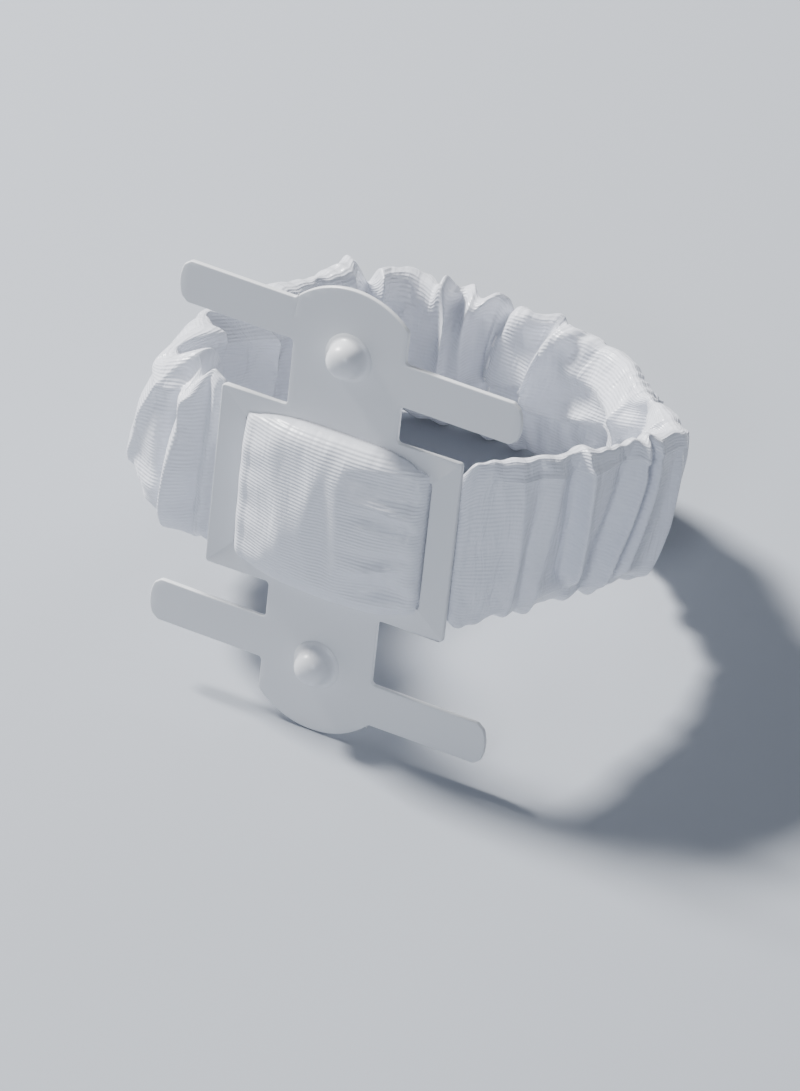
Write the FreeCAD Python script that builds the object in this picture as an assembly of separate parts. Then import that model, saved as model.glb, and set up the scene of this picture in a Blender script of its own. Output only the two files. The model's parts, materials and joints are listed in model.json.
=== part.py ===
import FreeCAD, Part

import math
import os

# A corsage wristlet: a gathered satin sleeve over flat elastic makes the wrist ring, and a bendable
# sheet clip at the front carries a small padded bed with a tab and two wrap-over arms at each end.
# Millimetres, +Z up.  The band stands on its edge: the lower tab's end and the back of the sleeve
# touch the floor (Z = 0), and the clip faces -Y, leaning back.

# ---- clip, measured in its own plane: u to the right, v up along the clip, depth to the back
LEAN = 11.0                 # degrees the clip leans back from upright
CLIP_X = 1.5                # where the clip's centre stands in the row
CLIP_Y = -29.35
SHEET = 0.8                 # thickness of the coated sheet
FRAME_HALF_WIDTH = 19.0
FRAME_HALF_HEIGHT = 14.1
SLOT_INNER = 11.6           # edge of the centre web
SLOT_OUTER = 15.05          # edge of the side bar
SLOT_HALF_HEIGHT = 9.9
TAB_HALF_WIDTH = 8.8
TAB_SIDE = 17.0             # straight side of a tab, from the frame's edge
TAB_END_RADIUS = 12.5
ARM_REACH = 27.4            # tip of an arm, from the clip's centre line
ARM_TIP_RADIUS = 4.2
NEAR_ARM = (5.6, 12.1)      # low and high edge of an arm, from the frame's edge
FAR_ARM = (10.2, 16.7)
STUD_PLACE = 10.2           # stud centre, from the frame's edge
STUD_BASE_RADIUS = 3.0
STUD_TOP_RADIUS = 2.2
STUD_HEIGHT = 3.3
STUD_SHANK_RADIUS = 1.2
FOLD_OFFSET = 1.5           # a bend line lies this far outside the edge that it starts from
TIP_FOLD = 18.8             # bend line of an arm's tip, from the clip's centre line
FOLD_GAP = 0.05
CORNER = 0.4

# ---- padded bed on the centre web
BED_HALF_WIDTH = 14.8
BED_END_HALF_HEIGHT = 9.8   # at the slots
BED_MID_HALF_HEIGHT = 12.7  # at the middle of the web
BED_CROWN = 4.5
BED_DOME_RADIUS = 44.0
SATIN = 0.4
SEAT_GAP = 0.05

# ---- elastic and the flattened sleeve that is laced through the slots
ELASTIC_HALF_WIDTH = 9.3
ELASTIC = 0.9
LACED_SLEEVE = 1.7
LACED_HALF_HEIGHT = 9.8
LACING_PLACE = 13.3         # where the sleeve crosses the sheet
LACING_DEPTH = 1.35         # middle of the sleeve, in front of the web and behind the side bar
LACED_END = 19.4            # where the flat lacing meets the gathered ring
LACED_BEND = 0.4

# ---- gathered ring, in plan: x to the right and y to the back from the clip's centre
# Middle of the wall from the clip's left edge round the back to its right edge, and then closed behind
# the sheet.  The third number lifts the wall there above the plane that the ring leans in.
RING_PATH = ((-19.4, 1.35, 0.0), (-28.0, 5.0, 0.0), (-33.8, 13.0, 0.0), (-35.4, 25.0, 0.0), (-35.2, 38.0, 0.0),
             (-33.2, 50.5, 0.0), (-27.5, 60.0, 0.0), (-16.0, 63.3, 0.0), (-3.0, 63.3, 0.0), (8.0, 61.0, 0.0),
             (19.0, 52.0, 0.5), (28.3, 42.8, 1.4), (32.3, 34.0, 2.3), (30.5, 23.0, 2.3), (25.8, 12.0, 1.6),
             (19.4, 1.35, 0.0), (7.0, -1.0, 0.0), (-7.0, -1.0, 0.0))
RING_BACK = 63.3            # middle of the wall at the back
RING_FRONT_LOW = 21.8       # heights of the lower and upper edge, at the clip and at the back
RING_FRONT_HIGH = 48.0
RING_BACK_LOW = -0.4
RING_BACK_HIGH = 26.4
RING_FRONT_SHIFT = 2.4      # at the clip the upper edge stands this far behind the wall's middle
RING_BACK_SHIFT = -0.8      # and at the back this far before it
RING_SIDE_SHIFT = 2.2       # half the sideways lean of the wall, full from this far behind the clip:
SIDE_SHIFT_FROM = 15.0
RING_PUFF = ((0.0, 1.4), (0.22, 3.0), (0.78, 3.0), (1.0, 1.4))   # level, half thickness
PINCH = 0.4                 # share of the puff left where the sleeve is drawn flat at the clip
PINCH_DEPTH = 16.0          # the puff has its full size this far behind the clip
SKIN = 0.6                  # gathered satin skin
CHANNEL_LEVELS = (0.03, 0.24, 0.76, 0.97)
BACK_SPLIT = 42.0           # the back of the band starts here, from the clip's centre
SPLIT_GAP = 0.02
ELASTIC_LEVELS = (0.13, 0.87)
WIRE_POINTS = 60
SEAM_X = -9.5               # the ends of the elastic and of the sleeve meet here
ELASTIC_LAP = 7.0           # half the length of the elastic's sewn lap
LAP_STITCH_X = 4.2
STITCH_RADIUS = 0.25
STITCH_LEVELS = (0.22, 0.35, 0.48, 0.61, 0.74)
STITCH_LENGTH = 1.6
BIG = 200.0

lean = math.radians(LEAN)
half_sheet = SHEET / 2
tab_rise = TAB_END_RADIUS - math.sqrt(TAB_END_RADIUS ** 2 - TAB_HALF_WIDTH ** 2)
tab_end = FRAME_HALF_HEIGHT + TAB_SIDE + tab_rise
clip_height = tab_end * math.cos(lean) + half_sheet * math.sin(lean)
tab_fold = FRAME_HALF_HEIGHT + FOLD_OFFSET
arm_fold = TAB_HALF_WIDTH + FOLD_OFFSET


def vec(x, y, z):
    return FreeCAD.Vector(x, y, z)


def block(x0, x1, y0, y1, z0, z1):
    return Part.makeBox(x1 - x0, y1 - y0, z1 - z0, vec(x0, y0, z0))


def plate(u0, u1, v0, v1, thickness=SHEET):
    return block(u0, u1, -thickness / 2, thickness / 2, v0, v1)


def rounded_plate(u0, u1, v0, v1, radius):
    body = plate(u0, u1, v0, v1)
    edges = [e for e in body.Edges if abs(e.tangentAt(e.FirstParameter).y) > 0.9]
    return body.makeFillet(radius, edges)


def stand(shape):
    """Move a shape from the clip's own plane to where the clip stands."""
    shape = shape.copy()
    shape.rotate(vec(0, 0, 0), vec(1, 0, 0), -LEAN)
    shape.translate(vec(CLIP_X, CLIP_Y, clip_height))
    return shape


def turn_over(shape):
    """The clip looks the same after half a turn in its own plane."""
    shape = shape.copy()
    shape.rotate(vec(0, 0, 0), vec(0, 1, 0), 180)
    return shape


# ---------------------------------------------------------------- clip
def make_frame():
    frame = rounded_plate(-FRAME_HALF_WIDTH, FRAME_HALF_WIDTH, -FRAME_HALF_HEIGHT, FRAME_HALF_HEIGHT, CORNER)
    neck_end = tab_fold - half_sheet - FOLD_GAP
    frame = frame.fuse(plate(-TAB_HALF_WIDTH, TAB_HALF_WIDTH, -neck_end, neck_end)).removeSplitter()
    slot = rounded_plate(SLOT_INNER, SLOT_OUTER, -SLOT_HALF_HEIGHT, SLOT_HALF_HEIGHT, CORNER)
    return frame.cut(slot).cut(turn_over(slot))


def fold_root(start, end, place, along_u):
    """Half-round edge that turns on a bend line, from start to end along the line."""
    if along_u:
        return Part.makeCylinder(half_sheet, end - start, vec(start, 0, place), vec(1, 0, 0))
    return Part.makeCylinder(half_sheet, end - start, vec(place, 0, start), vec(0, 0, 1))


def arm_edges(arm):
    return FRAME_HALF_HEIGHT + arm[0], FRAME_HALF_HEIGHT + arm[1]


def make_upper_tab():
    """The upper tab: its left arm is the far one and its right arm the near one."""
    straight = plate(-TAB_HALF_WIDTH, TAB_HALF_WIDTH, tab_fold, tab_end)
    round_end = Part.makeCylinder(TAB_END_RADIUS, SHEET, vec(0, -half_sheet, tab_end - TAB_END_RADIUS), vec(0, 1, 0))
    below_round = plate(-TAB_HALF_WIDTH, TAB_HALF_WIDTH, tab_fold, tab_end - TAB_END_RADIUS)
    tab = straight.common(round_end.fuse(below_round))
    tab = tab.fuse(fold_root(-TAB_HALF_WIDTH, TAB_HALF_WIDTH, tab_fold, True))
    stub_end = arm_fold - half_sheet - FOLD_GAP
    left_low, left_high = arm_edges(FAR_ARM)
    right_low, right_high = arm_edges(NEAR_ARM)
    tab = tab.fuse(plate(-stub_end, 0, left_low, left_high)).fuse(plate(0, stub_end, right_low, right_high))
    stud_hole = Part.makeCylinder(STUD_SHANK_RADIUS, SHEET, vec(0, -half_sheet, FRAME_HALF_HEIGHT + STUD_PLACE),
                                  vec(0, 1, 0))
    return tab.cut(stud_hole).removeSplitter()


def make_right_arm(arm):
    """The first length of an arm on the right side, between its two bend lines."""
    low, high = arm_edges(arm)
    link = plate(arm_fold, TIP_FOLD - half_sheet - FOLD_GAP, low, high)
    return link.fuse(fold_root(low, high, arm_fold, False)).removeSplitter()


def make_right_tip(arm):
    low, high = arm_edges(arm)
    middle = (low + high) / 2
    tip = plate(TIP_FOLD, ARM_REACH, low, high)
    round_end = Part.makeCylinder(ARM_TIP_RADIUS, SHEET, vec(ARM_REACH - ARM_TIP_RADIUS, -half_sheet, middle),
                                  vec(0, 1, 0))
    inner = plate(TIP_FOLD, ARM_REACH - ARM_TIP_RADIUS, low, high)
    tip = tip.common(round_end.fuse(inner))
    return tip.fuse(fold_root(low, high, TIP_FOLD, False)).removeSplitter()


def mirror_left(shape):
    return shape.mirror(vec(0, 0, 0), vec(1, 0, 0))


def make_upper_stud():
    """A domed stud whose shank is set in the tab, flush with the back."""
    cap_height = 0.7 * STUD_TOP_RADIUS
    cap_start = SHEET + STUD_HEIGHT - cap_height
    cap_radius = (STUD_TOP_RADIUS ** 2 + cap_height ** 2) / (2 * cap_height)
    shank = Part.makeCylinder(STUD_SHANK_RADIUS, SHEET)
    flank = Part.makeCone(STUD_BASE_RADIUS, STUD_TOP_RADIUS, cap_start - SHEET, vec(0, 0, SHEET))
    cap = Part.makeSphere(cap_radius, vec(0, 0, SHEET + STUD_HEIGHT - cap_radius))
    cap = cap.common(Part.makeCylinder(STUD_TOP_RADIUS, cap_height, vec(0, 0, cap_start)))
    stud = shank.fuse(flank).fuse(cap).removeSplitter()
    stud.rotate(vec(0, 0, 0), vec(1, 0, 0), 90)
    stud.translate(vec(0, half_sheet, FRAME_HALF_HEIGHT + STUD_PLACE))
    return stud


# ---------------------------------------------------------------- padded bed and lacing
def lacing(thickness, half_height):
    """The flat strip over the web, back through both slots and out behind the side bars."""
    half = thickness / 2
    over = block(-LACING_PLACE - half, LACING_PLACE + half, -LACING_DEPTH - half, -LACING_DEPTH + half,
                 -half_height, half_height)
    strip = over
    for side in (-1, 1):
        crossing = block(-half, half, -LACING_DEPTH - half, LACING_DEPTH + half, -half_height, half_height)
        crossing.translate(vec(side * LACING_PLACE, 0, 0))
        inner, outer = sorted((side * (LACING_PLACE - half), side * LACED_END))
        behind = block(inner, outer, LACING_DEPTH - half, LACING_DEPTH + half, -half_height, half_height)
        strip = strip.fuse(crossing).fuse(behind)
    strip = strip.removeSplitter()
    bends = [e for e in strip.Edges
             if abs(e.tangentAt(e.FirstParameter).z) > 0.9 and abs(e.Vertexes[0].Point.x) < LACED_END - LACED_BEND]
    return strip.makeFillet(LACED_BEND, bends)


def bed_solid(shrink, floor_depth):
    """A crowned bed with a barrel outline, its flat side at floor_depth in front of the sheet's middle."""
    half_width = BED_HALF_WIDTH - shrink
    end_height = BED_END_HALF_HEIGHT - shrink
    mid_height = BED_MID_HALF_HEIGHT - shrink
    top = Part.Arc(vec(-half_width, 0, end_height), vec(0, 0, mid_height), vec(half_width, 0, end_height))
    right = Part.makeLine(vec(half_width, 0, end_height), vec(half_width, 0, -end_height))
    bottom = Part.Arc(vec(half_width, 0, -end_height), vec(0, 0, -mid_height), vec(-half_width, 0, -end_height))
    left = Part.makeLine(vec(-half_width, 0, -end_height), vec(-half_width, 0, end_height))
    outline = Part.Face(Part.Wire([top.toShape(), right, bottom.toShape(), left]))
    bed = outline.extrude(vec(0, -2 * BED_CROWN, 0))
    bed.translate(vec(0, -floor_depth, 0))
    crown_front = half_sheet + BED_CROWN - shrink
    dome = Part.makeSphere(BED_DOME_RADIUS, vec(0, BED_DOME_RADIUS - crown_front, 0))
    return bed.common(dome)


def make_front_elastic():
    return lacing(ELASTIC, ELASTIC_HALF_WIDTH)


def make_pad_filling():
    elastic_front = LACING_DEPTH + ELASTIC / 2
    return bed_solid(SATIN, elastic_front + SEAT_GAP)


def make_front_sleeve():
    """Satin over the bed and round the elastic; its inside holds the elastic and the filling."""
    outer = bed_solid(0.0, half_sheet + SEAT_GAP).fuse(lacing(LACED_SLEEVE, LACED_HALF_HEIGHT))
    room = lacing(ELASTIC + 2 * SEAT_GAP, ELASTIC_HALF_WIDTH + SEAT_GAP)
    filling_room = bed_solid(SATIN, LACING_DEPTH + ELASTIC / 2)
    return outer.cut(room).cut(filling_room)


# ---------------------------------------------------------------- gathered ring
def smooth_step(value):
    share = min(1.0, max(0.0, value))
    return share * share * (3 - 2 * share)


def ring_plan():
    plan = Part.BSplineCurve()
    plan.interpolate([vec(*point) for point in RING_PATH], PeriodicFlag=True)
    return plan


def wall_point(plan, parameter, level, offset, pinched=False):
    """A point of the wall, at a level from 0 (lower edge) to 1 (upper edge), offset outward from its middle."""
    middle = plan.value(parameter)
    along = plan.tangent(parameter)[0]
    outward = vec(-along.y, along.x, 0).normalize()
    back = max(0.0, middle.y / RING_BACK)
    if pinched:
        offset *= PINCH + (1 - PINCH) * smooth_step(middle.y / PINCH_DEPTH)
    lean_side = 2 * level - 1
    front_shift = RING_FRONT_SHIFT + (RING_BACK_SHIFT - RING_FRONT_SHIFT) * back
    side_shift = RING_SIDE_SHIFT * smooth_step(middle.y / SIDE_SHIFT_FROM)
    low = RING_FRONT_LOW + (RING_BACK_LOW - RING_FRONT_LOW) * back
    high = RING_FRONT_HIGH + (RING_BACK_HIGH - RING_FRONT_HIGH) * back
    return vec(CLIP_X + middle.x + outward.x * offset + lean_side * side_shift,
               CLIP_Y + middle.y + outward.y * offset + lean_side * front_shift,
               low + level * (high - low) + middle.z)


def ring_wire(level, offset, pinched):
    """One closed turn of the ring."""
    plan = ring_plan()
    start, end = plan.FirstParameter, plan.LastParameter
    points = [wall_point(plan, start + (end - start) * i / WIRE_POINTS, level, offset, pinched)
              for i in range(WIRE_POINTS)]
    curve = Part.BSplineCurve()
    curve.interpolate(points, PeriodicFlag=True)
    return Part.Wire(curve.toShape())


def ring_wall(levels, outsides, insides, pinched=False):
    """A closed wall: up its outer face, over the top and down its inner face."""
    up = [ring_wire(level, offset, pinched) for level, offset in zip(levels, outsides)]
    down = [ring_wire(level, offset, pinched) for level, offset in zip(levels, insides)]
    return Part.makeLoft(up + down[::-1], True, True, True)


def gathered_sleeve():
    levels = [level for level, _ in RING_PUFF]
    halves = [half for _, half in RING_PUFF]
    skin = ring_wall(levels, halves, [-half for half in halves], True)
    room = [half - SKIN for half in halves]
    return skin.cut(ring_wall(CHANNEL_LEVELS, room, [-half for half in room], True))


def elastic_ring():
    half = ELASTIC / 2
    return ring_wall(ELASTIC_LEVELS, [half, half], [-half, -half])


def side_region(side):
    """Space that holds one side of the ring, from the clip to the split."""
    x0, x1 = sorted((side * (LACED_END + SPLIT_GAP), side * BIG))
    return block(CLIP_X + x0, CLIP_X + x1, -BIG, CLIP_Y + BACK_SPLIT - SPLIT_GAP, 0, BIG)


def back_region():
    return block(-BIG, BIG, CLIP_Y + BACK_SPLIT, BIG, 0, BIG)


def lap_layer():
    """The elastic's second layer, where its ends are lapped at the back, on the inner side."""
    inner_face = -ELASTIC / 2
    layer = ring_wall(ELASTIC_LEVELS, [inner_face, inner_face], [inner_face - ELASTIC, inner_face - ELASTIC])
    seam = CLIP_X + SEAM_X
    return layer.common(block(seam - ELASTIC_LAP, seam + ELASTIC_LAP, CLIP_Y + BACK_SPLIT, BIG, 0, BIG))


def stitches(x, offset):
    """A row of upright stitches on the back wall, their middles at offset from the wall's middle."""
    plan = ring_plan()
    place = plan.parameter(vec(SEAM_X + x, RING_BACK, 0))
    row = []
    for level in STITCH_LEVELS:
        low = wall_point(plan, place, level, offset)
        up = (wall_point(plan, place, level + 0.1, offset) - low).normalize()
        row.append(Part.makeCylinder(STITCH_RADIUS, STITCH_LENGTH, low, up))
    return row


def make_lap_thread():
    """Two rows of stitches that lie on the inner face of the elastic's lap."""
    offset = -1.5 * ELASTIC - STITCH_RADIUS - SPLIT_GAP
    return Part.makeCompound(stitches(-LAP_STITCH_X, offset) + stitches(LAP_STITCH_X, offset))


def make_closing_thread():
    """Stitches inside the wrist opening that close the sleeve where its two ends meet."""
    thickest = max(half for _, half in RING_PUFF)
    return Part.makeCompound(stitches(0.0, -thickest - STITCH_RADIUS - SPLIT_GAP))


def write(name, shape):
    if not shape.isValid():
        raise ValueError(name + " is not a valid solid")
    shape.exportStep(os.path.join("parts", name + ".step"))
    box = shape.optimalBoundingBox()
    print("%-22s %8.1f mm3  x %.1f %.1f  y %.1f %.1f  z %.1f %.1f" % (
        name, shape.Volume, box.XMin, box.XMax, box.YMin, box.YMax, box.ZMin, box.ZMax))


def main():
    os.makedirs("parts", exist_ok=True)
    upper_tab = make_upper_tab()
    upper_stud = make_upper_stud()
    near_arm, near_tip = make_right_arm(NEAR_ARM), make_right_tip(NEAR_ARM)
    far_arm, far_tip = mirror_left(make_right_arm(FAR_ARM)), mirror_left(make_right_tip(FAR_ARM))
    sleeve = gathered_sleeve()
    elastic = elastic_ring()
    back = back_region()
    nodes = {
        "clip_frame": stand(make_frame()),
        "upper_tab": stand(upper_tab),
        "lower_tab": stand(turn_over(upper_tab)),
        "upper_right_arm": stand(near_arm),
        "upper_left_arm": stand(far_arm),
        "lower_left_arm": stand(turn_over(near_arm)),
        "lower_right_arm": stand(turn_over(far_arm)),
        "upper_right_arm_tip": stand(near_tip),
        "upper_left_arm_tip": stand(far_tip),
        "lower_left_arm_tip": stand(turn_over(near_tip)),
        "lower_right_arm_tip": stand(turn_over(far_tip)),
        "upper_stud": stand(upper_stud),
        "lower_stud": stand(turn_over(upper_stud)),
        "pad_filling": stand(make_pad_filling()),
        "sleeve_front": stand(make_front_sleeve()),
        "elastic_front": stand(make_front_elastic()),
        "sleeve_left": sleeve.common(side_region(-1)),
        "sleeve_right": sleeve.common(side_region(1)),
        "sleeve_back": sleeve.common(back),
        "elastic_left": elastic.common(side_region(-1)),
        "elastic_right": elastic.common(side_region(1)),
        "elastic_back": elastic.common(back).fuse(lap_layer()),
        "elastic_lap_thread": make_lap_thread(),
        "sleeve_closing_thread": make_closing_thread(),
    }
    for name, shape in nodes.items():
        write(name, shape)
    whole = FreeCAD.BoundBox()
    for shape in nodes.values():
        whole.add(shape.optimalBoundingBox())
    print("whole  x %.2f %.2f  y %.2f %.2f  z %.2f %.2f" % (
        whole.XMin, whole.XMax, whole.YMin, whole.YMax, whole.ZMin, whole.ZMax))
    print("clip centre z %.3f" % clip_height)


main()
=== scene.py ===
import json
import math

import bmesh
import bpy
import numpy as np
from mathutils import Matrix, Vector


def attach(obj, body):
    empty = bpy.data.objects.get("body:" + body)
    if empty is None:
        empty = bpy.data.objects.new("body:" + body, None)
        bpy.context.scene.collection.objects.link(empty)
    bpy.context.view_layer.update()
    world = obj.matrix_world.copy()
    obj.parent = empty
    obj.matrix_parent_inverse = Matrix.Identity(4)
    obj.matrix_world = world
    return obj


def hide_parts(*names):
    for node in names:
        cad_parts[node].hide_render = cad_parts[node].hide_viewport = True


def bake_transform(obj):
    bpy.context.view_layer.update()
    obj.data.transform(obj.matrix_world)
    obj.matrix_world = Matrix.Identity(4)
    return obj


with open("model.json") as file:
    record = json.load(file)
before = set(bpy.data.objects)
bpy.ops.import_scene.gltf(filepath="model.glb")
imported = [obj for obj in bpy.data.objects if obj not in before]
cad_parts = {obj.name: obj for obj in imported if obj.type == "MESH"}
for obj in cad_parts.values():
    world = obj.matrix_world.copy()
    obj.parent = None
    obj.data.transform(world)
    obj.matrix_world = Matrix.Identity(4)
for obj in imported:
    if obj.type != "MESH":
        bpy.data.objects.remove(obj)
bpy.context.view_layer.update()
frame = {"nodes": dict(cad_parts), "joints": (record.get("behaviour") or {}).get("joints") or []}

MM = 0.001
SEED = 11

# ---------------------------------------------------------------- where the clip stands
# Clip coordinates are millimetres from its centre: u to the right, v up along it, d to the back.
fold_place = {j["name"]: Vector(j["pos_m"]) for j in frame["joints"] if "pos_m" in j}
UPPER_FOLD = fold_place["upper_tab_fold"]
LOWER_FOLD = fold_place["lower_tab_fold"]
CLIP = (UPPER_FOLD + LOWER_FOLD) / 2
ACROSS = Vector((1, 0, 0))
UP = (UPPER_FOLD - LOWER_FOLD).normalized()
BACK = UP.cross(ACROSS)
AXES = np.array([ACROSS, UP, BACK])
ORIGIN = np.array(CLIP)

# ---------------------------------------------------------------- sizes of the clip, in mm
SHEET = 0.8
FRAME_HALF_WIDTH = 19.0
FRAME_HALF_HEIGHT = 14.1
SLOT_INNER = 11.6
SLOT_OUTER = 15.05
SLOT_HALF_HEIGHT = 9.9
TAB_HALF_WIDTH = 8.8
TAB_END = 34.721
TAB_END_RADIUS = 12.5
ARM_REACH = 27.4
ARM_TIP_RADIUS = 4.2
NEAR_ARM = (19.7, 26.2)         # low and high edge, from the clip's centre
FAR_ARM = (24.3, 30.8)
EDGE_ROUND = 0.22               # rounding of the coated sheet's edges
BAR_TWIST = 0.34                # a twisted side bar's edges stand this far before and behind the sheet
STRIP_FLAT = 9.3                # the frame is flat from here to its centre line
TAB_BEND = (14.3, 16.9)         # bend zones: across each tab, each arm's root and each arm's middle
ARM_BEND = (9.3, 11.3)
TIP_BEND = (17.3, 20.3)
TAB_BEND_CUTS = (14.3, 17.1, 0.35)      # first, past the last, and spacing of the edge loops in a bend zone
ARM_BEND_CUTS = (9.3, 11.4, 0.3)
TIP_BEND_CUTS = (17.3, 20.4, 0.4)
TIP_START = 14.5                # an arm's mesh meets its tip's mesh here
STUD_V = 24.3
STUD_FOOT = 0.39                # a stud's foot stands this far before the sheet's middle

# ---------------------------------------------------------------- sizes of the sleeve, in mm
# The ring's plan from the clip's left edge round the back to its right edge: x, y from the clip's centre,
# and how far the wall is lifted there.
RING_PATH = (
    (-19.4, 1.75, 0.0), (-28.0, 5.0, 0.0), (-33.8, 13.0, 0.0), (-35.4, 25.0, 0.0),
    (-35.2, 38.0, 0.0), (-33.2, 50.5, 0.0), (-27.5, 60.0, 0.0), (-16.0, 63.3, 0.0),
    (-3.0, 63.3, 0.0), (8.0, 61.0, 0.0), (19.0, 52.0, 0.5), (28.3, 42.8, 1.4),
    (32.3, 34.0, 2.3), (30.5, 23.0, 2.3), (25.8, 12.0, 1.6), (19.4, 1.75, 0.0),
)
RING_BACK = 63.3
FRONT_LOW, FRONT_HIGH = 21.8, 48.0      # heights of the wall's two edges at the clip, and at the back
BACK_LOW, BACK_HIGH = 0.2, 26.4
# How far the upper edge is moved back (at the clip and at the back of the ring) and to the right. The lower
# edge is moved as far the other way.
FRONT_SHIFT, BACK_SHIFT, SIDE_SHIFT = 2.4, -0.8, 2.2
SIDE_SHIFT_FROM = 15.0          # the move to the right is full from this far behind the clip
LACING_DEPTH = 1.75             # the laced end lies this far behind the sheet's middle
LACING_HALF_HEIGHT = 9.7
SLOT_MIDDLE = 13.35
RIB_PITCH = 0.62
ELASTIC_WIDTH = 19.0
PLAN_POINTS = 900               # points that follow the ring's plan
LACED_ROWS = 60
RING_ROWS, RING_COLUMNS = 900, 168          # rows along the ring, and points round its section
BED_HALF_ROWS, BED_COLUMNS = 70, 120
FLOOR_GAP = 0.12                # the ring's satin is kept this far above the floor
SEAM_X = -9.5                   # the sleeve's two ends are closed here

# ---------------------------------------------------------------- camera
AZIMUTH, ELEVATION = math.radians(29.9), math.radians(38.2)
DISTANCE = 1.25                 # metres from the place it aims at
LENS, SENSOR = 297, 36          # focal length and sensor height, in mm
AIM_RIGHT, AIM_DOWN = 0.00924, 0.00465      # it aims this many metres right of and below the clip's centre

rng = np.random.default_rng(SEED)


def smooth(value):
    share = np.clip(value, 0.0, 1.0)
    return share * share * (3 - 2 * share)


def signed_power(value, power):
    return np.sign(value) * np.abs(value) ** power


def clip_point(u, v, d):
    """World positions, in metres, of points given in clip coordinates."""
    local = np.stack(np.broadcast_arrays(u, v, d), axis=-1).astype(float)
    return ORIGIN + (local * MM) @ AXES


def mesh_piece(name, points, faces, material, uv=None, girth=0.0):
    """A shown piece from points in metres.

    uv has one pair of millimetres for each point, and girth is how far round a tube they run."""
    mesh = bpy.data.meshes.new(name)
    mesh.from_pydata([tuple(p) for p in np.asarray(points).reshape(-1, 3)], [], faces)
    mesh.update()
    if uv is not None:
        layer = mesh.uv_layers.new(name="cloth_mm")
        for polygon in mesh.polygons:
            across = [uv[v][1] for v in polygon.vertices]
            for index, value in zip(polygon.loop_indices, across):
                seam = girth if girth and max(across) - value > girth / 2 else 0.0
                layer.data[index].uv = (uv[mesh.loops[index].vertex_index][0], value + seam)
    for polygon in mesh.polygons:
        polygon.use_smooth = True
    piece = bpy.data.objects.new(name, mesh)
    bpy.context.scene.collection.objects.link(piece)
    mesh.materials.append(material)
    return piece


def run_length(line):
    """Length along a line at each of its points."""
    return np.concatenate([[0], np.cumsum(np.linalg.norm(np.diff(line, axis=0), axis=1))])


def directions(line):
    """Unit direction of a line at each of its points."""
    along = np.gradient(line, axis=0)
    return along / np.linalg.norm(along, axis=1)[:, None]


def tube_faces(rows, columns, closed_ends=True):
    """Faces of a tube of rings, one ring of points to a row."""
    faces = []
    for i in range(rows - 1):
        for j in range(columns):
            k = (j + 1) % columns
            faces.append((i * columns + j, i * columns + k, (i + 1) * columns + k, (i + 1) * columns + j))
    if closed_ends:
        faces.append(tuple(range(columns))[::-1])
        faces.append(tuple((rows - 1) * columns + j for j in range(columns)))
    return faces


def face_outward(piece):
    shell = bmesh.new()
    shell.from_mesh(piece.data)
    bmesh.ops.recalc_face_normals(shell, faces=shell.faces)
    shell.to_mesh(piece.data)
    shell.free()


# ---------------------------------------------------------------- materials
def new_material(name, color, roughness):
    material = bpy.data.materials.new(name)
    material.use_nodes = True
    shader = material.node_tree.nodes["Principled BSDF"]
    shader.inputs["Base Color"].default_value = (*color, 1)
    shader.inputs["Roughness"].default_value = roughness
    return material, material.node_tree, shader


def add_bump(tree, shader, height, strength, distance, after=None):
    bump = tree.nodes.new("ShaderNodeBump")
    bump.inputs["Strength"].default_value = strength
    bump.inputs["Distance"].default_value = distance
    tree.links.new(height, bump.inputs["Height"])
    if after is not None:
        tree.links.new(after.outputs["Normal"], bump.inputs["Normal"])
    tree.links.new(bump.outputs["Normal"], shader.inputs["Normal"])
    return bump


def add_noise(tree, scale, detail=2.0):
    place = tree.nodes.new("ShaderNodeTexCoord")
    noise = tree.nodes.new("ShaderNodeTexNoise")
    noise.inputs["Scale"].default_value = scale
    noise.inputs["Detail"].default_value = detail
    tree.links.new(place.outputs["Object"], noise.inputs["Vector"])
    return noise


def coated_sheet(name, color, roughness):
    material, tree, shader = new_material(name, color, roughness)
    shader.inputs["Coat Weight"].default_value = 0.15
    shader.inputs["Coat Roughness"].default_value = 0.3
    fine = add_bump(tree, shader, add_noise(tree, 2600.0).outputs["Fac"], 0.10, 0.00004)
    add_bump(tree, shader, add_noise(tree, 160.0).outputs["Fac"], 0.25, 0.0002, fine)
    return material


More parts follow.
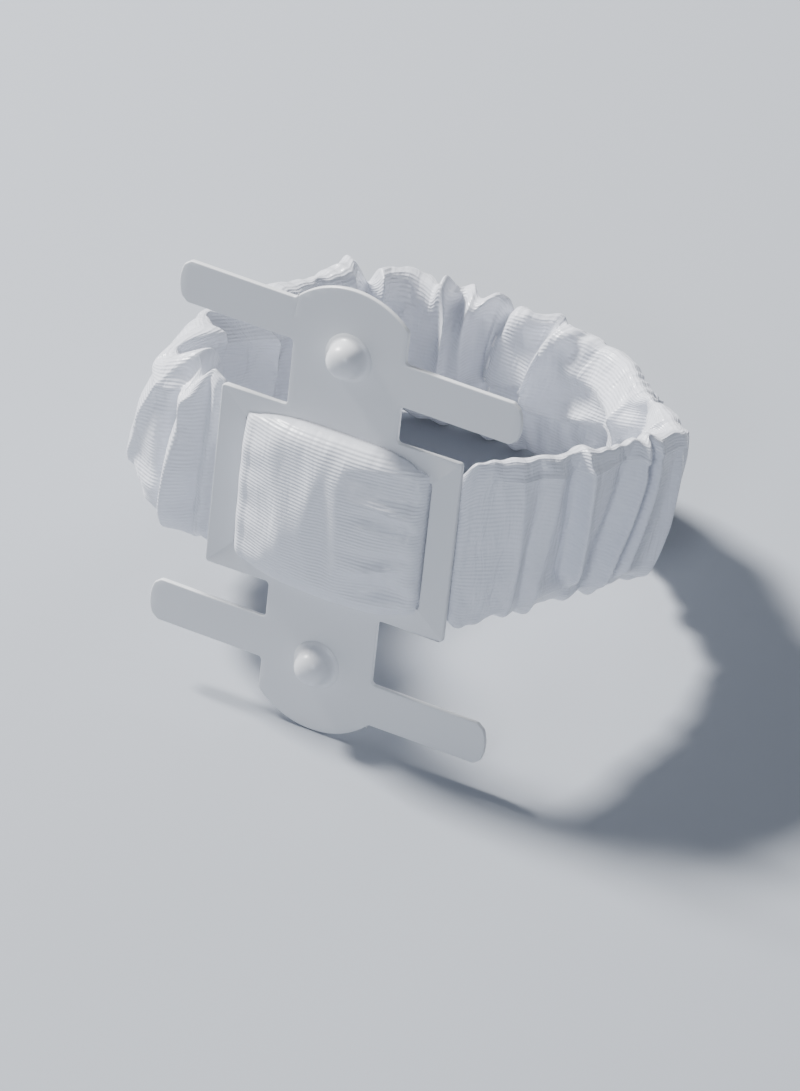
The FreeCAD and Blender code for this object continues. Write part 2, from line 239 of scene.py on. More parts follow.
def ribbed_satin(name, color, roughness, rib, strength, wrinkle):
    """Woven ribs run along the band: they repeat across the second cloth coordinate."""
    material, tree, shader = new_material(name, color, roughness)
    shader.inputs["Sheen Weight"].default_value = 0.35
    shader.inputs["Sheen Roughness"].default_value = 0.35
    shader.inputs["Sheen Tint"].default_value = (0.95, 0.96, 1.0, 1)
    cloth = tree.nodes.new("ShaderNodeUVMap")
    cloth.uv_map = "cloth_mm"
    ribs = tree.nodes.new("ShaderNodeTexWave")
    ribs.wave_type = "BANDS"
    ribs.bands_direction = "Y"
    ribs.wave_profile = "SIN"
    ribs.inputs["Scale"].default_value = 2 * math.pi / (20 * rib)
    ribs.inputs["Distortion"].default_value = 0.5
    ribs.inputs["Detail"].default_value = 1.0
    ribs.inputs["Detail Scale"].default_value = 0.6
    tree.links.new(cloth.outputs["UV"], ribs.inputs["Vector"])
    stretch = tree.nodes.new("ShaderNodeMapping")
    stretch.inputs["Scale"].default_value = (0.42, 0.10, 1.0)
    tree.links.new(cloth.outputs["UV"], stretch.inputs["Vector"])
    creases = tree.nodes.new("ShaderNodeTexNoise")
    creases.inputs["Scale"].default_value = 1.0
    creases.inputs["Detail"].default_value = 3.0
    creases.inputs["Distortion"].default_value = 0.8
    tree.links.new(stretch.outputs["Vector"], creases.inputs["Vector"])
    crease_bump = add_bump(tree, shader, creases.outputs["Fac"], wrinkle, 0.0012)
    rib_bump = add_bump(tree, shader, ribs.outputs["Fac"], strength, 0.00022, crease_bump)
    add_bump(tree, shader, add_noise(tree, 1500.0).outputs["Fac"], 0.12, 0.0001, rib_bump)
    return material


CLIP_COAT = coated_sheet("clip_coat", (0.74, 0.755, 0.78), 0.42)
STUD_COAT = coated_sheet("stud_coat", (0.74, 0.755, 0.785), 0.36)
SATIN = ribbed_satin("satin", (0.80, 0.82, 0.89), 0.27, RIB_PITCH, 0.30, 0.45)
BED_SATIN = ribbed_satin("bed_satin", (0.80, 0.82, 0.88), 0.30, 0.5, 0.32, 0.20)
ELASTIC = ribbed_satin("elastic", (0.80, 0.80, 0.79), 0.8, 1.1, 0.6, 0.1)
THREAD, thread_tree, thread_shader = new_material("thread", (0.86, 0.86, 0.9), 0.5)
add_bump(thread_tree, thread_shader, add_noise(thread_tree, 4000.0).outputs["Fac"], 0.4, 0.0001)


# ---------------------------------------------------------------- clip sheet
def rounded_outline(corners):
    """Points of a closed outline from (u, v, radius) corners."""
    count = len(corners)
    outline = []
    for i, (u, v, radius) in enumerate(corners):
        here = np.array([u, v])
        before = np.array(corners[i - 1][:2]) - here
        after = np.array(corners[(i + 1) % count][:2]) - here
        before /= np.linalg.norm(before)
        after /= np.linalg.norm(after)
        half_angle = math.acos(float(np.clip(before @ after, -1, 1))) / 2
        if radius < 0.01 or half_angle > 1.55:
            outline.append(here)
            continue
        reach = radius / math.tan(half_angle)
        start, end = here + before * reach, here + after * reach
        middle = here + (before + after) / np.linalg.norm(before + after) * radius / math.sin(half_angle)
        first, last = start - middle, end - middle
        turn = math.pi - 2 * half_angle
        for share in np.linspace(0, 1, max(3, int(turn / 0.2))):
            spread = (math.sin((1 - share) * turn) * first + math.sin(share * turn) * last) / math.sin(turn)
            outline.append(middle + spread)
    return outline


def arm_corners(side, low, high):
    """Corners of one arm and its two roots, in the order of going up on the right side."""
    end_drop = ARM_TIP_RADIUS - math.sqrt(ARM_TIP_RADIUS ** 2 - ((high - low) / 2) ** 2)
    tip_side = ARM_REACH - end_drop
    tip = [(side * (tip_side + end_drop * math.cos(a)), (low + high) / 2 + (high - low) / 2 * math.sin(a), 0)
           for a in np.linspace(-0.85, 0.85, 7)]
    return [(side * TAB_HALF_WIDTH, low, 0.6), (side * tip_side, low, 0.7), *tip,
            (side * tip_side, high, 0.7), (side * TAB_HALF_WIDTH, high, 0.6)]


def tab_corners():
    """The upper tab, from its right root to its left root."""
    end_low = TAB_END - (TAB_END_RADIUS - math.sqrt(TAB_END_RADIUS ** 2 - TAB_HALF_WIDTH ** 2))
    reach = math.asin(TAB_HALF_WIDTH / TAB_END_RADIUS)
    end = [(TAB_END_RADIUS * math.sin(a), TAB_END - TAB_END_RADIUS * (1 - math.cos(a)), 0)
           for a in np.linspace(reach, -reach, 21)[1:-1]]
    right = [(TAB_HALF_WIDTH, FRAME_HALF_HEIGHT, 0.6), *arm_corners(1, *NEAR_ARM),
             (TAB_HALF_WIDTH, end_low, 0.8)]
    left = [(-TAB_HALF_WIDTH, end_low, 0.8), *arm_corners(-1, *FAR_ARM)[::-1],
            (-TAB_HALF_WIDTH, FRAME_HALF_HEIGHT, 0.6)]
    return right + end + left


def clip_outline():
    upper = tab_corners()
    lower = [(-u, -v, r) for u, v, r in upper]
    return rounded_outline([(FRAME_HALF_WIDTH, FRAME_HALF_HEIGHT, 0.5), *upper,
                            (-FRAME_HALF_WIDTH, FRAME_HALF_HEIGHT, 0.5),
                            (-FRAME_HALF_WIDTH, -FRAME_HALF_HEIGHT, 0.5), *lower,
                            (FRAME_HALF_WIDTH, -FRAME_HALF_HEIGHT, 0.5)])


def slot_outline(side):
    inner, outer = side * SLOT_INNER, side * SLOT_OUTER
    return rounded_outline([(inner, -SLOT_HALF_HEIGHT, 0.5), (outer, -SLOT_HALF_HEIGHT, 0.5),
                            (outer, SLOT_HALF_HEIGHT, 0.5), (inner, SLOT_HALF_HEIGHT, 0.5)])


def split_along(shell, place, normal):
    """Add an edge loop where a plane crosses the sheet."""
    bmesh.ops.bisect_plane(shell, geom=[*shell.verts, *shell.edges, *shell.faces], dist=1e-5,
                           plane_co=place, plane_no=normal)


def sheet_mesh():
    """The whole flat clip as one mesh in clip coordinates, with rounded edges; z is towards the front."""
    curve = bpy.data.curves.new("clip_outline", "CURVE")
    curve.dimensions = "2D"
    curve.fill_mode = "BOTH"
    curve.extrude = SHEET / 2 - EDGE_ROUND
    curve.bevel_depth = EDGE_ROUND
    curve.bevel_resolution = 3
    curve.offset = -EDGE_ROUND
    for outline in (clip_outline(), slot_outline(1), slot_outline(-1)):
        spline = curve.splines.new("POLY")
        spline.points.add(len(outline) - 1)
        for point, (u, v) in zip(spline.points, outline):
            point.co = (u, v, 0, 1)
        spline.use_cyclic_u = True
    holder = bpy.data.objects.new("clip_outline", curve)
    bpy.context.scene.collection.objects.link(holder)
    bpy.context.view_layer.update()
    mesh = bpy.data.meshes.new_from_object(holder)
    bpy.data.objects.remove(holder)
    shell = bmesh.new()
    shell.from_mesh(mesh)
    bmesh.ops.remove_doubles(shell, verts=shell.verts, dist=0.01)
    bends_v = [side * place for side in (-1, 1) for place in np.arange(*TAB_BEND_CUTS)]
    bends_u = [side * place for side in (-1, 1)
               for place in (*np.arange(*ARM_BEND_CUTS), *np.arange(*TIP_BEND_CUTS))]
    cuts_u = [*np.arange(-26, 27, 2.0), *bends_u, -SLOT_OUTER, SLOT_OUTER]
    cuts_v = [*np.arange(-34, 35, 2.0), *bends_v]
    for normal, places in ((Vector((1, 0, 0)), cuts_u), (Vector((0, 1, 0)), cuts_v)):
        for place in places:
            split_along(shell, normal * float(place), normal)
    for side in (-1, 1):
        for end in (-1, 1):
            slot_corner = Vector((side * SLOT_OUTER, end * SLOT_HALF_HEIGHT, 0))
            crease = Vector((side * FRAME_HALF_WIDTH, end * FRAME_HALF_HEIGHT, 0)) - slot_corner
            split_along(shell, slot_corner, crease.cross(Vector((0, 0, 1))))
    return shell


def bar_relief(u, v):
    """How far the twisted side bars stand forward; creases run from the slots' corners to the frame's."""
    across = (abs(u) - SLOT_OUTER) / (FRAME_HALF_WIDTH - SLOT_OUTER)
    above = (abs(v) - SLOT_HALF_HEIGHT) / (FRAME_HALF_HEIGHT - SLOT_HALF_HEIGHT)
    if above > 1 or abs(u) < STRIP_FLAT:
        return 0.0
    way = math.copysign(BAR_TWIST, -u)
    if above <= 0:
        return way * (2 * across - 1) if across >= 0 else 0.0
    if across >= above:
        return way * (2 * across - 1)
    crease = SLOT_OUTER + above * (FRAME_HALF_WIDTH - SLOT_OUTER)
    return way * (2 * above - 1) * (abs(u) - STRIP_FLAT) / (crease - STRIP_FLAT)


def cut_away(shell, axis, place, keep_above):
    """Keep one side of a plane, and close the cut."""
    normal = Vector((axis == 0, axis == 1, 0)) * (1 if keep_above else -1)
    cut = bmesh.ops.bisect_plane(shell, geom=[*shell.verts, *shell.edges, *shell.faces], dist=1e-5,
                                 plane_co=Vector((axis == 0, axis == 1, 0)) * place, plane_no=normal,
                                 clear_inner=True)
    edges = [e for e in cut["geom_cut"] if isinstance(e, bmesh.types.BMEdge)]
    if edges:
        bmesh.ops.edgeloop_fill(shell, edges=edges)


def sheet_piece(name, whole, u_range, v_range):
    shell = whole.copy()
    for axis, (low, high) in enumerate((u_range, v_range)):
        if low is not None:
            cut_away(shell, axis, low, True)
        if high is not None:
            cut_away(shell, axis, high, False)
    for vert in shell.verts:
        u, v, front = vert.co
        wave = 0.05 * math.sin(u / 5.1 + 0.6) * math.sin(v / 7.3 + 0.4)
        vert.co = Vector(clip_point(u, v, -(front + bar_relief(u, v) + wave)))
    bmesh.ops.recalc_face_normals(shell, faces=shell.faces)
    mesh = bpy.data.meshes.new(name)
    shell.to_mesh(mesh)
    shell.free()
    for polygon in mesh.polygons:
        polygon.use_smooth = True
    mesh.set_sharp_from_angle(angle=math.radians(12))
    mesh.materials.append(CLIP_COAT)
    piece = bpy.data.objects.new(name, mesh)
    bpy.context.scene.collection.objects.link(piece)
    return piece


def make_clip():
    whole = sheet_mesh()
    plate_edge = FRAME_HALF_HEIGHT + 0.1
    plate = sheet_piece("clip_plate", whole, (None, None), (-plate_edge, plate_edge))
    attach(plate, "clip")
    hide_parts("clip_frame")
    for end, way in (("upper", 1), ("lower", -1)):
        v_range = (plate_edge, None) if way > 0 else (None, -plate_edge)
        tab = sheet_piece(end + "_tab_sheet", whole, (-ARM_BEND[0], ARM_BEND[0]), v_range)
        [clip_point(0, way * place, 0) for place in TAB_BEND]
        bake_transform(tab)
        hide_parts(end + "_tab")
        for side_name, side in (("left", -1), ("right", 1)):
            body = end + "_" + side_name + "_arm"
            inner = (ARM_BEND[0], TIP_START) if side > 0 else (-TIP_START, -ARM_BEND[0])
            outer = (TIP_START, None) if side > 0 else (None, -TIP_START)
            arm = sheet_piece(body + "_sheet", whole, inner, v_range)
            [clip_point(side * place, 0, 0) for place in ARM_BEND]
            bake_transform(arm)
            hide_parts(body)
            tip = sheet_piece(body + "_tip_sheet", whole, outer, v_range)
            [clip_point(side * place, 0, 0) for place in TIP_BEND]
            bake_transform(tip)
            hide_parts(body + "_tip")
    whole.free()


def make_stud(end, way):
    """A domed post with a soft foot."""
    profile = [(3.75, -0.25), (3.7, 0.0), (3.3, 0.08), (3.0, 0.30), (2.82, 0.65), (2.68, 1.15), (2.55, 1.7),
               (2.36, 2.2), (2.05, 2.63), (1.6, 2.97), (1.1, 3.18), (0.55, 3.29), (0.08, 3.32)]
    turns = 48
    angles = np.arange(turns) / turns * 2 * math.pi
    rows = [clip_point(radius * np.cos(angles), way * STUD_V + radius * np.sin(angles),
                       -(STUD_FOOT + height)) for radius, height in profile]
    stud = mesh_piece(end + "_stud_dome", np.array(rows), tube_faces(len(rows), turns), STUD_COAT)
    face_outward(stud)
    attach(stud, end + "_tab")
    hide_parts(end + "_stud")


# ---------------------------------------------------------------- cloth simulation
SIM_SCALE = 10.0            # cloth is simulated ten times larger, because the solver is made for metres


def cloth_settled(points, hold, grow, pressure, frames, most, bending):
    """Points of a closed tube of cloth, in mm, after its cloth has grown a little and buckled.

    hold is how firmly each point is kept in place, from 0 to 1, and most is how far one may move."""
    rows, columns = points.shape[:2]
    mesh = bpy.data.meshes.new("cloth_trial")
    scaled = points.reshape(-1, 3) * MM * SIM_SCALE
    mesh.from_pydata([tuple(p) for p in scaled], [], tube_faces(rows, columns, False))
    mesh.update()
    cloth = bpy.data.objects.new("cloth_trial", mesh)
    bpy.context.scene.collection.objects.link(cloth)
    group = cloth.vertex_groups.new(name="hold")
    for index, weight in enumerate(hold.reshape(-1)):
        group.add([index], float(weight), "REPLACE")
    settings = cloth.modifiers.new("cloth", "CLOTH").settings
    settings.quality = 5
    settings.mass = 0.2
    settings.air_damping = 2.0
    settings.tension_stiffness = settings.compression_stiffness = 25
    settings.shear_stiffness = 8
    settings.bending_stiffness = bending
    settings.tension_damping = settings.compression_damping = settings.shear_damping = 8
    settings.vertex_group_mass = "hold"
    settings.pin_stiffness = 1.0
    settings.shrink_min = -grow
    settings.use_pressure = pressure > 0
    settings.uniform_pressure_force = pressure
    settings.effector_weights.gravity = 0
    scene = bpy.context.scene
    for step in range(1, frames + 1):
        scene.frame_set(step)
    shaped = cloth.evaluated_get(bpy.context.evaluated_depsgraph_get())
    moved = np.array([tuple(v.co) for v in shaped.data.vertices]) / (MM * SIM_SCALE)
    bpy.data.objects.remove(cloth)
    bpy.data.meshes.remove(mesh)
    scene.frame_set(1)
    move = moved.reshape(points.shape) - points
    length = np.linalg.norm(move, axis=2, keepdims=True)
    return points + move * np.minimum(1.0, most / np.maximum(length, 1e-6))


def blurred(grid, reach):
    """A grid of vectors, smoothed along a tube and round it."""
    offsets = np.arange(-3, 4)
    weights = np.exp(-0.5 * (offsets / reach) ** 2)
    weights /= weights.sum()
    rows = np.arange(len(grid))
    along = sum(w * grid[np.clip(rows + o, 0, len(grid) - 1)] for o, w in zip(offsets, weights))
    return sum(w * np.roll(along, o, axis=1) for o, w in zip(offsets, weights))


def settle_tube(points, hold, grow, pressure, frames, most, bending, reach):
    """cloth_settled on every second point each way, with the movement smoothed and spread between them."""
    coarse = points[::2, ::2]
    move = cloth_settled(coarse, hold[::2, ::2], grow, pressure, frames, most, bending) - coarse
    move = blurred(move, reach)
    rows, columns = points.shape[:2]
    along = np.arange(rows) / 2
    low = np.minimum(along.astype(int), len(coarse) - 1)
    high = np.minimum(low + 1, len(coarse) - 1)
    share = (along - low)[:, None, None]
    move = move[low] * (1 - share) + move[high] * share
    between = (move + np.roll(move, -1, axis=1)) / 2
    return points + np.stack([move, between], axis=2).reshape(rows, columns, 3)


# ---------------------------------------------------------------- padded bed
def bed_section(share, side):
    """Front place (u and forward), back place and half height of the bed.

    share goes from 0 at the bed's middle to 1 in the slot."""
    shoulder = 0.80
    barrel = 5 if side > 0 else 3
    if share < shoulder:
        t = share / shoulder
        return 12.5 * t, 4.85 - 2.15 * t ** 2.4, min(12.5 * t, 12.2), 0.46, 12.8 - 1.3 * t ** barrel
    t = (share - shoulder) / (1 - shoulder)
    angle = t * math.pi / 2
    u = 12.5 + 2.25 * math.sin(angle) ** 0.85
    forward = -0.4 + 3.1 * math.cos(angle) ** 0.75
    entering = float(smooth((1.3 - forward) / 1.2))
    return u, forward, 12.35, 0.46 - 0.86 * t, 11.5 - 0.7 * t - 1.2 * entering


def bed_crease(u, v, rise, right_v, slope, width):
    """A crease that reaches the bed's right side at right_v."""
    return rise * np.exp(-(np.abs((v - right_v) - slope * (u - 9.0)) / width) ** 1.4)


def bed_wrinkle(u, strength, v):
    """Shallow hollows and fine wrinkles that run in from the right edge, mm forward."""
    right = smooth((u - 1.0) / 9.0)
    fan = np.sin(v * 1.15 + 0.10 * u + 1.1) * 0.26 + np.sin(v * 2.1 - 0.25 * u) * 0.12
    hollow = -1.7 * np.exp(-((u - 9.5) / 3.2) ** 2 - ((v + 7.0) / 1.7) ** 2)
    crease = bed_crease(u, v, 0.95, -4.6, 0.35, 0.55) * np.exp(-((u - 9.5) / 3.4) ** 2)
    second = bed_crease(u, v, 0.75, 1.6, -0.18, 0.7) * smooth((u - 4.5) / 4)
    third = bed_crease(u, v, 0.65, 5.2, -0.28, 0.6) * smooth((u - 6.5) / 4)
    left = 0.14 * np.sin(v * 1.1 + 0.4) * smooth((-u - 8.0) / 5.0)
    slow = 0.16 * np.sin(u * 0.42 + 0.8) * np.sin(v * 0.35 - 0.5)
    return (fan * right + hollow + crease + second + third + left + slow) * np.clip(strength, 0, 1)


# From the bed's end the satin goes on through the slot to the ring. Each section has its front place (u and
# forward), its back place and its half height, in mm.
BED_THROAT = ((14.8, -0.9, 12.7, -1.3, 9.6), (15.0, -1.15, 13.8, -2.3, 9.6), (15.9, -1.2, 15.7, -2.45, 9.6))


def bed_points(angles):
    """The bed's surface in mm, and its cloth coordinates, from slot to slot."""
    height_share = signed_power(np.sin(angles), 0.82)
    front_share = np.clip(signed_power(np.cos(angles), 0.62), 0, 1)
    end = BED_HALF_ROWS + len(BED_THROAT)
    rows, cloth = [], []
    for step in range(-end, end + 1):
        side = -1 if step < 0 else 1
        share = min(abs(step) / BED_HALF_ROWS, 1.0)
        section = bed_section(share, side)
        if abs(step) > BED_HALF_ROWS:
            section = BED_THROAT[abs(step) - BED_HALF_ROWS - 1]
        front_u, forward, back_u, back_forward, half_height = section
        v = half_height * height_share
        depth = back_forward + (forward - back_forward) * front_share
        u = side * (back_u + (front_u - back_u) * smooth(front_share * 3))
        depth = depth + bed_wrinkle(u, front_share * min(1, (1 - share) * 7), v)
        rows.append(clip_point(u, v, -depth))
        cloth.append(np.stack([u, v], axis=-1))
    return np.array(rows) / MM, np.array(cloth)


def make_bed():
    angles = np.arange(BED_COLUMNS) / BED_COLUMNS * 2 * math.pi
    points, cloth = bed_points(angles)
    from_end = np.minimum(np.arange(len(points)), len(points) - 1 - np.arange(len(points)))
    near_slot = smooth((26 - from_end) / 14)[:, None]
    hold = np.clip(0.15 + near_slot + smooth((0.5 - np.cos(angles)) / 0.5), 0, 1)
    points = settle_tube(points, hold, grow=0.014, pressure=0.3, frames=12, most=0.5, bending=1.8,
                         reach=1.3)
    bed = mesh_piece("satin_bed", points * MM, tube_faces(len(points), BED_COLUMNS), BED_SATIN,
                     cloth.reshape(-1, 2))
    face_outward(bed)
    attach(bed, "clip")
    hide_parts("sleeve_front", "pad_filling")


# ---------------------------------------------------------------- the sleeve's way round the wrist
def natural_spline(knots, values, places):
    """Smooth curve through values, with no bend at its two ends."""
    count = len(knots)
    gap = np.diff(knots)
    slope = np.diff(values, axis=0) / gap[:, None]
    system = np.eye(count)
    right_side = np.zeros_like(values)
    for i in range(1, count - 1):
        system[i, i - 1:i + 2] = gap[i - 1], 2 * (gap[i - 1] + gap[i]), gap[i]
        right_side[i] = 6 * (slope[i] - slope[i - 1])
    bend = np.linalg.solve(system, right_side)
    cell = np.clip(np.searchsorted(knots, places) - 1, 0, count - 2)
    width = gap[cell][:, None]
    left = (knots[cell + 1] - places)[:, None]
    right = (places - knots[cell])[:, None]
    return ((bend[cell] * left ** 3 + bend[cell + 1] * right ** 3) / (6 * width)
            + (values[cell] / width - bend[cell] * width / 6) * left
            + (values[cell + 1] / width - bend[cell + 1] * width / 6) * right)


def wrist_edges():
    """Lower edge, upper edge and outward direction of the ring, in mm, from the clip's left side round."""
    path = np.array(RING_PATH)
    knots = run_length(path[:, :2])
    plan = natural_spline(knots, path, np.linspace(0, knots[-1], PLAN_POINTS))
    along = directions(plan[:, :2])
    outward = np.stack([-along[:, 1], along[:, 0], np.zeros(len(plan))], axis=1)
    back = np.clip(plan[:, 1] / RING_BACK, 0, None)
    side = SIDE_SHIFT * smooth(plan[:, 1] / SIDE_SHIFT_FROM)
    lean = FRONT_SHIFT + (BACK_SHIFT - FRONT_SHIFT) * back
    clip_mm = ORIGIN / MM
    edges = []
    for sign, front_height, back_height in ((-1, FRONT_LOW, BACK_LOW), (1, FRONT_HIGH, BACK_HIGH)):
        height = front_height + (back_height - front_height) * back + plan[:, 2]
        edges.append(np.stack([clip_mm[0] + plan[:, 0] + sign * side, clip_mm[1] + plan[:, 1] + sign * lean,
                               height], axis=1))
    return edges[0], edges[1], outward


def laced_edges(side):
    """The same for the flat end that comes out of a slot and goes behind the side bar."""
    turn = np.linspace(0, 1, LACED_ROWS)
    u = side * (SLOT_MIDDLE + 0.15 + 5.6 * turn)
    d = 0.35 + (LACING_DEPTH - 0.35) * smooth(turn / 0.28)
    spread = LACING_HALF_HEIGHT + 1.9 * smooth((turn - 0.45) / 0.55)
    return clip_point(u, -spread, d) / MM, clip_point(u, spread, d) / MM, np.tile(-AXES[2], (LACED_ROWS, 1))


def softened(values, places, corner=0.9):
    """Values at even places along the band, with their corners rounded except at its two ends."""
    reach = max(2, int(corner / (places[1] - places[0])))
    kernel = np.exp(-0.5 * (np.arange(-3 * reach, 3 * reach + 1) / reach) ** 2)
    kernel /= kernel.sum()
    padded = np.pad(values, ((3 * reach, 3 * reach), (0, 0)), mode="edge")
    rounded = np.stack([np.convolve(padded[:, k], kernel, mode="valid") for k in range(3)], axis=1)
    keep = smooth(np.minimum(places, places[-1] - places) / 3.0)[:, None]
    return values + (rounded - values) * keep


def ring_stations(count):
    """Length along the band from where the ring starts, lower edge, upper edge and outward direction."""
    parts = zip(laced_edges(-1), wrist_edges(), laced_edges(1))
    low, high, outward = (np.concatenate([left, ring, right[::-1]]) for left, ring, right in parts)
    length = run_length((low + high) / 2)
    places = np.linspace(0, length[-1], count)
    even = [np.stack([np.interp(places, length, values[:, k]) for k in range(3)], axis=1)
            for values in (low, high, outward)]
    low, high, outward = (softened(values, places) for values in even)
    outward /= np.linalg.norm(outward, axis=1)[:, None]
    return places - length[LACED_ROWS], low, high, outward


# ---------------------------------------------------------------- folds of the sleeve
# Pleats: place along the ring at the lower and the upper edge, height, width before and after the crest,
# lowest and highest level, and how far the crest leans over along the ring.
OUTER_PLEATS = (
    (1.2, 0.6, 1.1, 0.9, 1.2, -0.3, 1.3, 0.0),
    (3.6, 2.6, -1.2, 0.9, 0.9, -0.3, 1.3, 0.0),
    (6.6, 4.4, 1.6, 1.6, 1.3, -0.3, 1.3, 0.5),
    (10.0, 6.9, -1.9, 1.1, 1.4, -0.1, 1.3, 0.0),
    (20.0, 9.2, 1.7, 1.8, 6.0, 0.1, 1.3, -0.7),
    (33.0, 28.0, -1.2, 2.0, 3.0, 0.0, 1.3, 0.0),
    (142.0, 141.0, -0.9, 1.6, 2.6, -0.3, 1.3, 0.0),
    (149.0, 147.0, 1.3, 3.4, 1.3, -0.3, 1.3, 0.4),
    (156.2, 152.2, 1.7, 0.9, 0.7, 0.05, 1.3, 0.4),
    (157.7, 153.6, -1.5, 0.6, 0.6, 0.05, 1.3, 0.0),
    (159.3, 155.0, 2.1, 0.8, 0.8, 0.0, 1.3, 0.7),
    (161.8, 158.0, -1.8, 1.2, 1.5, 0.0, 1.2, 0.0),
    (163.4, 166.2, 2.0, 1.3, 0.7, 0.08, 1.3, 0.8),
    (165.6, 168.0, -1.9, 1.0, 1.8, 0.12, 1.2, 0.0),
    (170.8, 171.2, 0.9, 1.4, 1.7, -0.3, 1.3, 0.0),
    (173.0, 174.0, -0.6, 1.0, 1.2, -0.3, 1.3, 0.0),
    (175.2, 176.2, 0.7, 1.3, 1.1, -0.3, 1.3, 0.0),
)
INNER_PLEATS = (
    (4.5, 3.5, -1.3, 1.4, 1.4, -0.3, 1.3, 0.0),
    (9.0, 7.5, 2.0, 2.0, 1.2, -0.3, 1.3, 0.6),
    (14.0, 15.5, -1.8, 1.6, 2.0, -0.3, 1.3, 0.0),
    (19.0, 22.5, 2.2, 2.4, 1.6, -0.3, 1.3, 0.7),
    (27.0, 29.5, -2.2, 1.7, 2.4, -0.3, 1.3, 0.0),
    (38.2, 38.8, 3.6, 3.4, 0.6, 0.0, 0.95, 1.6),
    (50.0, 48.0, 1.4, 2.4, 1.8, -0.3, 1.3, 0.0),
    (56.0, 57.5, -1.4, 1.8, 1.8, -0.3, 1.3, 0.0),
    (62.0, 63.5, 1.6, 3.0, 1.2, -0.3, 1.3, 0.5),
    (67.4, 68.0, -1.9, 0.9, 1.0, 0.2, 1.4, 0.0),
    (70.6, 70.0, 1.6, 0.9, 4.2, -0.3, 1.3, -0.5),
    (84.2, 81.4, 2.0, 0.8, 0.8, 0.40, 1.3, 0.4),
    (86.6, 84.4, 2.2, 0.8, 1.2, 0.38, 1.3, 0.6),
    (88.8, 89.8, -2.0, 0.9, 1.2, 0.35, 1.4, 0.0),
    (98.2, 99.6, 2.6, 0.7, 6.0, 0.42, 1.3, -1.5),
    (113.5, 116.0, -1.2, 3.0, 2.4, 0.1, 0.8, 0.0),
    (121.0, 122.5, 1.2, 2.4, 1.6, -0.3, 1.0, 0.4),
    (127.5, 127.0, -1.5, 2.0, 2.0, -0.3, 1.3, 0.0),
    (136.0, 134.0, 1.6, 2.2, 1.4, -0.3, 1.3, 0.3),
    (146.0, 147.5, -1.2, 2.0, 1.6, -0.3, 1.3, 0.0),
    (153.0, 151.0, 1.4, 1.8, 1.8, -0.3, 1.3, 0.2),
    (161.0, 162.0, -1.1, 1.6, 1.6, -0.3, 1.3, 0.0),
    (168.0, 167.0, 1.1, 1.6, 1.6, -0.3, 1.3, 0.0),
)
# Lengthwise folds from one place and level to another: height, softness above and below, and softness at
# the two ends.
INNER_LEDGES = (
    (39.5, 0.76, 53.0, 0.80, 1.7, 0.20, 0.035, 1.4, 3.0),
    (73.0, 0.46, 85.0, 0.42, 2.9, 0.42, 0.035, 4.0, 1.6),
    (88.8, 0.50, 99.2, 0.66, 2.3, 0.55, 0.030, 0.8, 0.8),
    (97.6, 0.45, 114.0, 0.56, 2.4, 0.13, 0.035, 2.0, 12.0),
    (104.0, 0.86, 125.0, 0.75, 1.6, 0.12, 0.14, 5.0, 6.0),
)
OUTER_LEDGES = (
    (99.0, 0.955, 139.0, 0.955, 0.5, 0.018, 0.018, 4.0, 4.0),
    (101.0, 0.885, 138.0, 0.89, 0.6, 0.020, 0.018, 4.0, 4.0),
    (104.0, 0.81, 137.0, 0.82, 0.6, 0.026, 0.020, 4.0, 4.0),
    (146.0, 0.905, 178.0, 0.895, 0.45, 0.022, 0.016, 4.0, 4.0),
)
# Upper edge: place, rise, width before and after.
EDGE_PEAKS = (
    (2.6, 0.6, 1.0, 1.2), (5.4, -2.2, 1.6, 1.8), (8.6, 0.8, 1.4, 2.0), (13.5, -1.2, 2.0, 3.0),
    (22.0, 1.0, 5.0, 8.0), (46.0, 0.4, 6.0, 6.0), (65.4, 2.5, 6.5, 1.7),
    (68.0, -1.4, 0.7, 0.8), (70.0, 1.9, 0.8, 6.0), (78.2, -0.4, 1.0, 0.8), (80.6, 3.0, 1.3, 1.1),
    (84.2, 1.0, 1.0, 1.2), (87.6, 1.3, 1.5, 1.0), (90.2, -2.1, 0.8, 0.7), (92.6, 1.3, 1.3, 4.5),
    (98.6, -0.5, 1.0, 0.9), (101.4, 1.7, 1.3, 3.5), (126.0, -1.2, 9.0, 7.0), (138.0, -2.3, 7.0, 6.0),
    (147.0, 0.5, 3.0, 2.0), (153.5, 0.7, 1.2, 1.2), (156.6, 0.5, 1.0, 1.0), (166.4, 0.7, 1.0, 1.2),
)
# Upper edge, sideways: place, outward shift, width.
EDGE_WAVES = (
    (8.6, -1.8, 2.2), (14.0, 1.6, 2.6), (21.0, -1.6, 3.4), (31.0, 1.6, 4.0), (41.0, -0.9, 3.5),
    (50.0, 0.8, 4.0), (60.0, -0.7, 4.0), (66.6, 1.1, 2.0), (69.6, -1.7, 2.0), (75.0, 1.0, 2.6),
    (80.4, -1.6, 1.6), (83.2, 1.5, 1.2), (86.2, -1.3, 1.3), (89.2, 1.5, 1.4), (93.0, -0.9, 2.4),
    (98.2, 1.7, 1.8), (102.0, -1.4, 2.6), (112.0, 0.5, 6.0), (124.0, -0.6, 6.0), (146.0, 0.6, 4.0),
)


def crest(offset, before, after, power=1.35):
    width = np.where(offset < 0, before, after)
    return np.exp(-(np.abs(offset) / width) ** power)


def pleat_field(pleats, place, level):
    """Height of the pleats and their lean along the ring."""
    height = np.zeros_like(place + level)
    lean = np.zeros_like(height)
    for low, high, rise, before, after, start, end, over in pleats:
        shape = crest(place - (low + (high - low) * level), before, after)
        shape = shape * smooth((level - start) / 0.16) * smooth((end - level) / 0.16)
        height += rise * shape
        lean += over * shape
    return height, lean


